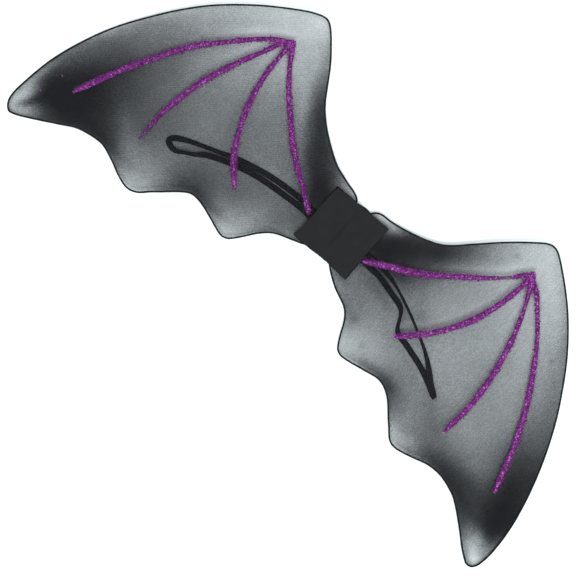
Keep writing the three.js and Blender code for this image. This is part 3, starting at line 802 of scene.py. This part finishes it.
def wing_edges(name):
    """The foot edge and the top edge of a wing, as distances from the middle line with y and z."""
    line = wire_lines[name].copy()
    line[:, 0] *= SIDES[name]
    inner = int(np.argmin(line[:, 0]))
    line = np.roll(line, -inner, axis=0)
    outer = int(np.argmax(line[:, 0]))
    one = line[:outer + 1]
    two = np.vstack([line[outer:], line[:1]])[::-1]
    foot, top = sorted([one, two], key=lambda edge: edge[:, 1].mean())
    return foot, top


def edge_at(edge, distance, column):
    """A coordinate of an edge at given distances from the middle line."""
    climbing = np.maximum.accumulate(edge[:, 0])
    return np.interp(distance, climbing, edge[:, column])


def level_at(name, x):
    """The height of the middle of the stocking at given x, which is that of the wire."""
    top = wing_edges(name)[1]
    return edge_at(top, np.abs(x), 2)


# %% Stocking of each wing
def stocking(name, material):
    """The stretched cloth of one wing."""
    side = SIDES[name]
    foot, top = wing_edges(name)
    start = top[0, 0] + END_GAP * MM
    end = top[-1, 0] - END_GAP * MM
    bm = bmesh.new()
    bmesh.ops.create_grid(bm, x_segments=STOCKING_COLUMNS, y_segments=STOCKING_ROWS, size=0.5)
    flat = np.array([vert.co for vert in bm.verts])
    even = flat[:, 0] + 0.5
    crowded = even + CROWDING * (np.sin(even * math.pi / 2) - even)
    distance = start + (end - start) * crowded
    lower = edge_at(foot, distance, 1)
    upper = edge_at(top, distance, 1)
    x = side * distance
    y = lower + (upper - lower) * (flat[:, 1] + 0.5)
    z = edge_at(top, distance, 2)
    for vert, spot in zip(bm.verts, zip(x, y, z)):
        vert.co = spot
    bmesh.ops.recalc_face_normals(bm, faces=bm.faces)
    bmesh.ops.solidify(bm, geom=bm.faces[:], thickness=LAYER_GAP * MM)
    bm.verts.ensure_lookup_table()
    depth = bm.verts.layers.float.new("depth")
    thread = bm.verts.layers.float.new("thread")
    spots = np.array([vert.co for vert in bm.verts])
    depths = depth_at(name, spots[:, 0], spots[:, 1])
    middle = level_at(name, spots[:, 0])
    shift = middle.mean() - spots[:, 2].mean()
    for vert, amount, height in zip(bm.verts, depths, middle):
        vert.co.z += shift
        vert[depth] = amount
        vert[thread] = THREAD_TURN[name] + (LAYER_TURN if vert.co.z > height else 0.0)
    bmesh.ops.recalc_face_normals(bm, faces=bm.faces)
    area = sum(face.calc_area() for face in bm.faces) / 2
    piece = finish_piece(bm, f"stocking_{name}", material, f"mesh_{name}")
    print(f"stocking_{name} covers", round(area, 4), "square metres")
    return piece


stocking_material = stocking_finish()
for name in SIDES:
    stocking(name, stocking_material)

# %% [markdown]
# ## Glitter ribs
#
# The ribs are lines of glue full of glitter, drawn from one knuckle on each wing. A line of glue is never
# even: it swells, thins and runs out at its end. So each rib is a low bead that is swept along its route
# with a width that wanders. On it lie thousands of small flakes. Each flake is a six-sided disc with a
# low point above and below, so it is closed and still has only twelve faces. Flakes differ in tint and
# tilt, and that is what makes glitter look like glitter. Where less glitter was strewn, the glue is thin
# and clear too. Beside each rib lies a flat see-through purple film that fades away from it: partly glue
# that soaked into the knit, partly painted shade for the purple-tinted shadow of the see-through glue.

# %% Routes of the ribs
# Points in mm from the knuckle out, then how fully glitter covers the rib at shares of its length
LEFT_RIBS = [
    ([(-175.2, 104), (-185.6, 99.1), (-207.4, 79.2), (-223.9, 59.3), (-239.6, 40.1), (-253.3, 19.9),
      (-263.7, 0), (-283.3, -40.1), (-302.9, -90.9)], [(0, 1), (0.14, 0.5), (0.35, 0.85), (1, 1)]),
    ([(-175.2, 104), (-183, 96.8), (-189.8, 79.7), (-201.9, 49.7), (-214.3, 9.9), (-217.7, -10.3),
      (-220.9, -40.4), (-219.4, -79.2)],
     [(0, 1), (0.14, 0.55), (0.45, 1), (0.7, 0.9), (0.82, 0.5), (0.93, 0.2), (1, 0.12)]),
    ([(-174.2, 108.6), (-175.2, 94.9), (-173.9, 75), (-170.8, 55.1), (-164.8, 33.4), (-157.9, 15.4),
      (-145.9, -7.6), (-133.6, -25.1), (-110.6, -47.1)],
     [(0, 1), (0.14, 0.5), (0.4, 0.85), (0.9, 0.85), (1, 0.5)]),
    ([(-175.2, 104), (-171.8, 101.9), (-161.7, 87.9), (-141.3, 65.5), (-120.6, 47.1), (-100.6, 30),
      (-80.2, 16), (-60.3, 4.5), (-36.5, -10.5)],
     [(0, 0.9), (0.14, 0.5), (0.35, 0.85), (0.65, 0.9), (0.75, 0.6), (0.85, 0.5), (1, 0.55)]),
]
RIGHT_RIBS = [
    ([(176.3, 105.9), (189.4, 99.5), (209.8, 80.9), (229.8, 59.8), (249.2, 34), (268.4, 5.1),
      (278.3, -13.3), (288.7, -34.4), (307.3, -82.9)],
     [(0, 1), (0.14, 0.5), (0.25, 0.4), (0.4, 0.8), (0.75, 1), (1, 0.75)]),
    ([(176.3, 105.9), (180.4, 101), (191.2, 82.9), (201, 62.1), (208.8, 41.9), (215.8, 18.1),
      (221.3, -4.9), (224.1, -25.1), (225.3, -45), (224.4, -75)],
     [(0, 1), (0.14, 0.35), (0.38, 0.85), (0.6, 1), (0.8, 0.75), (0.93, 0.7), (1, 0.4)]),
    ([(174.9, 112.6), (175.9, 94.9), (174.2, 75), (170.8, 55.1), (165.3, 34.9), (156.7, 15),
      (146.4, -3.1), (134.3, -19.9), (116.4, -40.1)],
     [(0, 1), (0.15, 0.75), (0.25, 0.7), (0.45, 1.1), (0.6, 1), (0.8, 0.75), (0.93, 0.85), (1, 0.5)]),
    ([(176.3, 105.9), (171.5, 104.7), (160.6, 90.6), (140, 69.5), (119.2, 51.1), (99.2, 33.4),
      (79.8, 19.3), (59.8, 8.1), (36.2, -7.2)],
     [(0, 0.9), (0.14, 0.15), (0.24, 0.42), (0.35, 0.8), (0.6, 0.85), (0.75, 1), (0.85, 1), (0.95, 0.7),
      (1, 0.3)]),
]
RIBS = {"left": LEFT_RIBS, "right": RIGHT_RIBS}
RIB_WIDTH = 6.3
RIB_HEIGHT = 0.9
RIB_STEP = 1.5 * MM
KNUCKLE_RADIUS = 4.6
KNUCKLE_FLAKES = 90
# Glitter that strayed or gathered: x, y and radius in mm, and the number of flakes
STRAYS = {
    "left": [(-330, -116, 1.5, 5), (-324, -89, 0.8, 2), (-303, -91, 2.4, 18)],
    "right": [],
}
# Painted light: the right wing caught the light better, so its flakes are made brighter
PAINTED_WING_LIGHT = {"left": 1.0, "right": 1.15}
print("ribs on a wing:", len(LEFT_RIBS))

# %% Finish of the glue and the flakes
# The film beside each rib is partly soaked glue and partly painted shade: the rib's purple-tinted shadow
SOAK_AND_SHADOW_STRENGTH = 0.42
# The glue hides the knit fully once its fullness times this is one
GLUE_FILL = 1.6


def glue_finish():
    """The dried glue between the flakes: deep purple and wet-looking."""
    material, tree, shader = new_material("glue", (0.05, 0.004, 0.05), 0.45, 0.1)
    spots = grain(tree, object_place(tree), 1.3 * MM, 3.0)
    shade(tree, shader, spots, (0.045, 0.004, 0.047), (0.14, 0.014, 0.138))
    raise_surface(tree, shader, spots, 0.3 * MM)
    filled = compute(tree, "MULTIPLY", attribute(tree, "fullness"), GLUE_FILL)
    cover = compute(tree, "MINIMUM", filled, 1.0)
    tree.links.new(cover, shader.inputs["Alpha"])
    return material


def flake_finish():
    """Metallic film whose tint comes from each flake."""
    material, tree, shader = new_material("flakes", (0.2, 0.02, 0.19), 0.4, 0.08)
    tint = put(tree, "ShaderNodeAttribute", {}, attribute_name="tint").outputs["Color"]
    tree.links.new(tint, shader.inputs["Base Color"])
    shader.inputs["Metallic"].default_value = 0.3
    return material


def soak_and_shadow_finish():
    """Glue soaked into the knit and painted shadow: a thin purple film that fades away from the rib."""
    material, tree, shader = new_material("soak_and_shadow", (0.16, 0.04, 0.16), 0.9, 0.04)
    away = compute(tree, "ABSOLUTE", attribute(tree, "across"))
    stain = compute(tree, "MULTIPLY", compute(tree, "SUBTRACT", 1.0, away), attribute(tree, "fullness"))
    tree.links.new(compute(tree, "MULTIPLY", stain, SOAK_AND_SHADOW_STRENGTH), shader.inputs["Alpha"])
    return material


# %% Bead of glue
# How far the film of soaked glue and painted shadow reaches past the bead, and how high it lies
SOAK_AND_SHADOW_WIDTH = 2.4
SOAK_AND_SHADOW_LIFT = 0.06


def surface_level(name, x):
    """The top of the stocking at given x."""
    return level_at(name, x) + LAYER_GAP / 2 * MM


def rib_line(name, points):
    """The line of a rib on top of the stocking."""
    spots = np.array(points, float) * MM
    heights = surface_level(name, spots[:, 0])
    line, marks, length = smooth_line(np.column_stack([spots, heights]), RIB_STEP)
    line[:, 2] = surface_level(name, line[:, 0])
    return line, length


def rib_width(number, share, cover):
    """Half the width of a rib in metres. It wanders, and narrows where it starts and ends."""
    wander = 1 + 0.22 * noise.noise(Vector((share * 23, number * 7.3, 0.5)))
    wander = wander + 0.12 * noise.noise(Vector((share * 70, number * 3.1, 4.5)))
    ends = min(1.0, 0.55 + 9 * (1 - share)) * min(1.0, 0.55 + 12 * share)
    return RIB_WIDTH / 2 * MM * wander * ends * (0.55 + 0.45 * cover)


def add_bead(bm, name, number, points, covers, fullness):
    """One low bead of glue, with a flat underside just inside the stocking."""
    line, length = rib_line(name, points)
    forward = np.gradient(line, axis=0)
    shares = np.linspace(0, 1, len(line))
    cover = np.interp(shares, *zip(*covers))
    places = []
    for spot, direction, share, amount in zip(line, forward, shares, cover):
        half = rib_width(number, share, amount)
        height = RIB_HEIGHT * MM * (0.35 + 0.65 * amount) * min(1.0, 0.4 + 8 * (1 - share))
        places.append(place_matrix(spot, UP.cross(Vector(direction)), direction, half, height))
    outline = [(1, -0.1), (0.93, 0.3), (0.7, 0.62), (0.38, 0.85), (0, 0.95), (-0.38, 0.85), (-0.7, 0.62),
               (-0.93, 0.3), (-1, -0.1), (-0.5, -0.25), (0, -0.25), (0.5, -0.25)]
    sweep(bm, outline, places, along=fullness, gone=cover)
    return line, shares, cover


def add_soak_and_shadow(bm, number, line, shares, cover, across, fullness):
    """The soaked glue and painted shadow under and beside a bead, as a film that is nearly flat."""
    forward = np.gradient(line, axis=0)
    places = []
    for spot, direction, share, amount in zip(line, forward, shares, cover):
        half = rib_width(number, share, amount) + SOAK_AND_SHADOW_WIDTH * MM
        lifted = Vector(spot) + UP * SOAK_AND_SHADOW_LIFT * MM
        places.append(place_matrix(lifted, UP.cross(Vector(direction)), direction, half, SOAK_AND_SHADOW_LIFT * MM))
    outline = [(1, 0), (0.6, 0.5), (0.2, 0.6), (-0.2, 0.6), (-0.6, 0.5),
               (-1, 0), (-0.6, -0.5), (-0.2, -0.6), (0.2, -0.6), (0.6, -0.5)]
    beads = set(bm.faces)
    sweep(bm, outline, places, across=across, along=fullness, gone=cover)
    for face in set(bm.faces) - beads:
        face.material_index = 1


# %% Flakes
FLAKE_RADIUS = 0.72
FLAKES_PER_MM2 = 1.15
FLAKE_LEAN = 0.25
FLAKE_LIFT = 0.05 * MM
STRAY_REACH = 1.5
CLUMP_SIZE = 2.5 * MM
# Flake tints from deep to pale purple; the palest, rarest one is a painted glint of flakes catching the
# light
TINTS = np.array([(0.058, 0.005, 0.06), (0.12, 0.013, 0.118), (0.21, 0.031, 0.2), (0.38, 0.11, 0.37)])
TINT_SHARES = [0.3, 0.33, 0.26, 0.11]


def flakes(rng, places, normals, tone_and_painted_light):
    """Closed six-sided flakes at the places, leaning off the normals at random, as arrays."""
    count = len(places)
    lean = normals + rng.normal(0, FLAKE_LEAN, (count, 3))
    lean /= np.linalg.norm(lean, axis=1)[:, None]
    helper = np.where(np.abs(lean[:, :1]) < 0.8, [[1.0, 0, 0]], [[0, 1.0, 0]])
    one = np.cross(lean, helper)
    one /= np.linalg.norm(one, axis=1)[:, None]
    two = np.cross(lean, one)
    radius = FLAKE_RADIUS * MM * rng.uniform(0.6, 1.25, (count, 1, 1))
    spin = (rng.uniform(0, 2 * math.pi, (count, 1)) + np.arange(6) * math.pi / 3)[..., None]
    rim = places[:, None] + radius * (np.cos(spin) * one[:, None] + np.sin(spin) * two[:, None])
    top = places[:, None] + lean[:, None] * radius * 0.22
    base = places[:, None] - lean[:, None] * radius * 0.6
    verts = np.concatenate([rim, top, base], axis=1).reshape(-1, 3)
    ring = np.arange(6)
    after = (ring + 1) % 6
    upper = np.column_stack([ring, after, np.full(6, 6)])
    lower = np.column_stack([after, ring, np.full(6, 7)])
    pattern = np.vstack([upper, lower])
    faces = (pattern[None] + 8 * np.arange(count)[:, None, None]).reshape(-1, 3)
    tint = TINTS[rng.choice(len(TINTS), count, p=TINT_SHARES)] * tone_and_painted_light[:, None]
    return verts, faces, np.repeat(tint, 8, axis=0)


def rib_flakes(rng, number, line, shares, cover):
    """Where the flakes of one rib lie, which way each faces, and how bright it is, with painted shade at
    the bead's edges.
    """
    length = np.linalg.norm(np.diff(line, axis=0), axis=1).sum()
    count = int(length / MM * RIB_WIDTH * FLAKES_PER_MM2)
    at = rng.uniform(0, 1, count)
    at = at[rng.uniform(0, 1, count) < np.interp(at, shares, cover)]
    full = np.interp(at, shares, cover)
    across = np.clip(rng.normal(0, 0.52, len(at)), -STRAY_REACH, STRAY_REACH)
    spots = np.column_stack([np.interp(at, shares, column) for column in line.T])
    forward = np.gradient(line, axis=0)
    forward /= np.linalg.norm(forward, axis=1)[:, None]
    side = np.cross([0, 0, 1.0], np.column_stack([np.interp(at, shares, column) for column in forward.T]))
    half = np.array([rib_width(number, share, value) for share, value in zip(at, full)])
    bulge = np.sqrt(1 - np.clip(np.abs(across), 0, 1) ** 2) * (0.35 + 0.65 * full)
    spots = spots + side * (across * half)[:, None]
    spots[:, 2] += RIB_HEIGHT * MM * bulge + FLAKE_LIFT
    normals = side * (across * 0.35)[:, None] + np.array([0, 0, 1.0])
    clump = np.array([noise.noise(Vector(spot) / CLUMP_SIZE) for spot in spots])
    # Brighter or darker in random clumps, and darker towards the bead's edges: partly painted shade on
    # its sloping sides, partly darker glue there
    tone_and_painted_light = (1 + 0.6 * clump) * (1 - 0.45 * np.clip(np.abs(across), 0, 1) ** 2)
    return spots, normals, tone_and_painted_light


def round_flakes(rng, name, x, y, radius, count, lift):
    """Flakes strewn over a round spot given in mm."""
    turn = rng.uniform(0, 2 * math.pi, count)
    out = radius * np.sqrt(rng.uniform(0, 1, count))
    level = float(surface_level(name, x * MM))
    spots = np.column_stack([x + out * np.cos(turn), y + out * np.sin(turn)]) * MM
    spots = np.column_stack([spots, np.full(count, level + lift)])
    return spots, np.tile([0, 0, 1.0], (count, 1)), np.ones(count)


# %% Ribs of each wing
def ribs(name, seed, glue, soak_and_shadow, film):
    """All glitter of one wing: beads, knuckle, stains and painted shadow, flakes and a few that strayed.
    """
    rng = np.random.default_rng(seed)
    bm = bmesh.new()
    across = bm.verts.layers.float.new("across")
    fullness = bm.verts.layers.float.new("fullness")
    strewn = []
    for number, (points, covers) in enumerate(RIBS[name]):
        line, shares, cover = add_bead(bm, name, number, points, covers, fullness)
        add_soak_and_shadow(bm, number, line, shares, cover, across, fullness)
        strewn.append(rib_flakes(rng, number, line, shares, cover))
    x, y = RIBS[name][0][0][0]
    level = float(surface_level(name, x * MM))
    blob = Matrix.Translation((x * MM, y * MM, level)) @ Matrix.Diagonal((1, 1, 0.2, 1))
    made = bmesh.ops.create_icosphere(bm, subdivisions=3, radius=KNUCKLE_RADIUS * MM, matrix=blob)
    for vert in made["verts"]:
        vert[fullness] = 1.0
    bmesh.ops.recalc_face_normals(bm, faces=bm.faces)
    strewn.append(round_flakes(rng, name, x, y, KNUCKLE_RADIUS, KNUCKLE_FLAKES, RIB_HEIGHT * MM))
    for x, y, radius, count in STRAYS[name]:
        strewn.append(round_flakes(rng, name, x, y, radius, count, FLAKE_LIFT))
    places, normals, tone_and_painted_light = [np.concatenate(parts) for parts in zip(*strewn)]
    verts, faces, tints = flakes(rng, places, normals, tone_and_painted_light * PAINTED_WING_LIGHT[name])
    piece = finish_piece(bm, f"glitter_{name}", glue, f"veins_{name}")
    piece.data.materials.append(soak_and_shadow)
    piece.data.materials.append(film)
    join_flakes(piece, verts, faces, tints)
    return piece


def join_flakes(piece, verts, faces, tints):
    """Adds the flakes to the piece's mesh, with their tint as a colour at each vertex."""
    bm = bmesh.new()
    bm.from_mesh(piece.data)
    glue_verts = len(bm.verts)
    made = [bm.verts.new(spot) for spot in verts]
    for face in faces:
        new_face = bm.faces.new([made[number] for number in face])
        new_face.material_index = 2
    bm.to_mesh(piece.data)
    bm.free()
    colours = np.ones((glue_verts + len(verts), 4), np.float32)
    colours[glue_verts:, :3] = tints
    layer = piece.data.color_attributes.new("tint", "FLOAT_COLOR", "POINT")
    layer.data.foreach_set("color", colours.ravel())
    print(piece.name, "has", len(faces) // 12, "flakes")


glue = glue_finish()
soak_and_shadow = soak_and_shadow_finish()
film = flake_finish()
for seed, name in enumerate(SIDES):
    ribs(name, seed + 5, glue, soak_and_shadow, film)

# %% [markdown]
# ## Felt squares
#
# Two squares of craft felt, 2 mm thick, are glued together with the roots between them. Scissors leave
# the edges square but soft. A cube is scaled to the felt's size, cut into a fine grid, and its edges are
# rounded. Then the surface is moved a little: it sinks between the two wires, swells over each of them,
# and waves slightly, as pressed fibres do. Painted shade darkens the cut rim, whose sides lie in shadow,
# and one crease.

# %% Finish of the felt
# Painted shade: how much darker the cut rim and the crease are made, where shade falls on the felt
PAINTED_RIM_SHADE = 0.6
PAINTED_CREASE_SHADE = 0.35


def felt_finish():
    """Matted black fibres: no gloss, cloudy tone, a short nap, and painted shade at the rim and crease.
    """
    material, tree, shader = new_material("felt", (0.02, 0.0195, 0.02), 0.95, 0.05)
    place = object_place(tree)
    clouds = grain(tree, place, 9 * MM, 3.0)
    nap = grain(tree, place, 0.45 * MM, 4.0)
    tone = compute(tree, "MULTIPLY", compute(tree, "ADD", clouds, nap), 0.5)
    # Painted shade: the colour is dimmed where the layer rim marks the cut rim and the crease
    painted_shade_dimming = compute(tree, "SUBTRACT", 1.0, compute(tree, "MULTIPLY", attribute(tree, "rim"), PAINTED_RIM_SHADE))
    shade(tree, shader, tone, (0.0115, 0.011, 0.0114), (0.0215, 0.0205, 0.0212), painted_shade_dimming)
    raise_surface(tree, shader, nap, 0.35 * MM)
    shader.inputs["Sheen Weight"].default_value = 0.03
    return material


# %% Felt squares
PAD_SIZE = (70.0, 69.5)
PAD_CUTS = 54
PAD_ROUND = 0.45
PADS = {"pad_front": (3.6, 1.0, 1), "pad_back": (4.6, 1.4, -1)}
# Where an edge was cut wavy: x and y in mm, reach in mm, and how far it moves in x and y in mm
PAD_WAVES = {
    "pad_front": [(2, -35, 13, 0, 0.9), (-35, -35, 9, -2.1, -0.6), (-35, 35, 9, 1, -2.2),
                  (35, 35, 9, 0.5, 0.5),
                  (35, -35, 9, 0.6, -0.6)],
    "pad_back": [(3, 35, 7, 0, 1.6), (3, -35, 13, 0, 0.9)],
}


def felt_square(node, turn, shift, outward, material):
    """One square of felt. outward is 1 if its free face looks up, and -1 if it looks down."""
    low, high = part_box(node)
    bm = bmesh.new()
    thickness = high.z - low.z
    cube = bmesh.ops.create_cube(bm, size=1.0)["verts"]
    bmesh.ops.scale(bm, vec=(PAD_SIZE[0] * MM, PAD_SIZE[1] * MM, thickness), verts=cube)
    bmesh.ops.bevel(bm, geom=bm.edges[:], offset=PAD_ROUND * MM, offset_type="OFFSET", segments=3,
                    profile=0.5, affect="EDGES", material=-1)
    long_edges = [edge for edge in bm.edges if edge.calc_length() > PAD_SIZE[0] / 2 * MM]
    bmesh.ops.subdivide_edges(bm, edges=long_edges, cuts=PAD_CUTS, use_grid_fill=True)
    middle = (low.z + high.z) / 2
    # The layer rim holds painted shade: 1 at the cut rim, and a share along the crease
    rim = bm.verts.layers.float.new("rim")
    for vert in bm.verts:
        x, y = vert.co.x / MM, vert.co.y / MM
        for wave_x, wave_y, reach, move_x, move_y in PAD_WAVES[node]:
            nearness = math.exp(-(math.hypot(x - wave_x, y - wave_y) / reach) ** 2)
            vert.co.x += move_x * nearness * MM
            vert.co.y += move_y * nearness * MM
        at_rim = PAD_SIZE[0] / 2 - abs(x) < PAD_ROUND or PAD_SIZE[1] / 2 - abs(y) < PAD_ROUND
        vert[rim] = 1.0 if at_rim else 0.0
        crease = math.exp(-(((x + 1.5) / 1.5) ** 2)) * max(0.0, 1 - ((y + 1) / 26) ** 2)
        swell = math.exp(-(((abs(x) - 7) / 4) ** 2))
        # Painted shade along the crease
        vert[rim] += PAINTED_CREASE_SHADE * crease
        wave = noise.noise(Vector((x / 14, y / 14, outward * 3.0)))
        rough = noise.noise(Vector((x / 1.7, y / 1.7, outward * 9.0)))
        if outward > 0:
            vert.co.z += (0.22 * swell - 0.45 * crease + 0.12 * wave + 0.04 * rough) * MM
        else:
            vert.co.z += (0.04 * rough) * MM * (vert.co.z > 0)
        edge = max(abs(x) / (PAD_SIZE[0] / 2), abs(y) / (PAD_SIZE[1] / 2))
        if edge > 0.9:
            ragged = 0.16 * noise.noise(Vector((x / 1.1, y / 1.1, 5.0)))
            ragged += 0.3 * noise.noise(Vector((x / 6, y / 6, 8.0)))
            vert.co.x += ragged * MM * (x / PAD_SIZE[0]) * 2
            vert.co.y += ragged * MM * (y / PAD_SIZE[1]) * 2
    place = Matrix.Translation((shift * MM, 0, middle)) @ Matrix.Rotation(math.radians(turn), 4, "Z")
    bmesh.ops.transform(bm, matrix=place, verts=bm.verts)
    bmesh.ops.recalc_face_normals(bm, faces=bm.faces)
    return finish_piece(bm, f"felt_{node}", material, node)


felt = felt_finish()
for node, (turn, shift, outward) in PADS.items():
    felt_square(node, turn, shift, outward, felt)
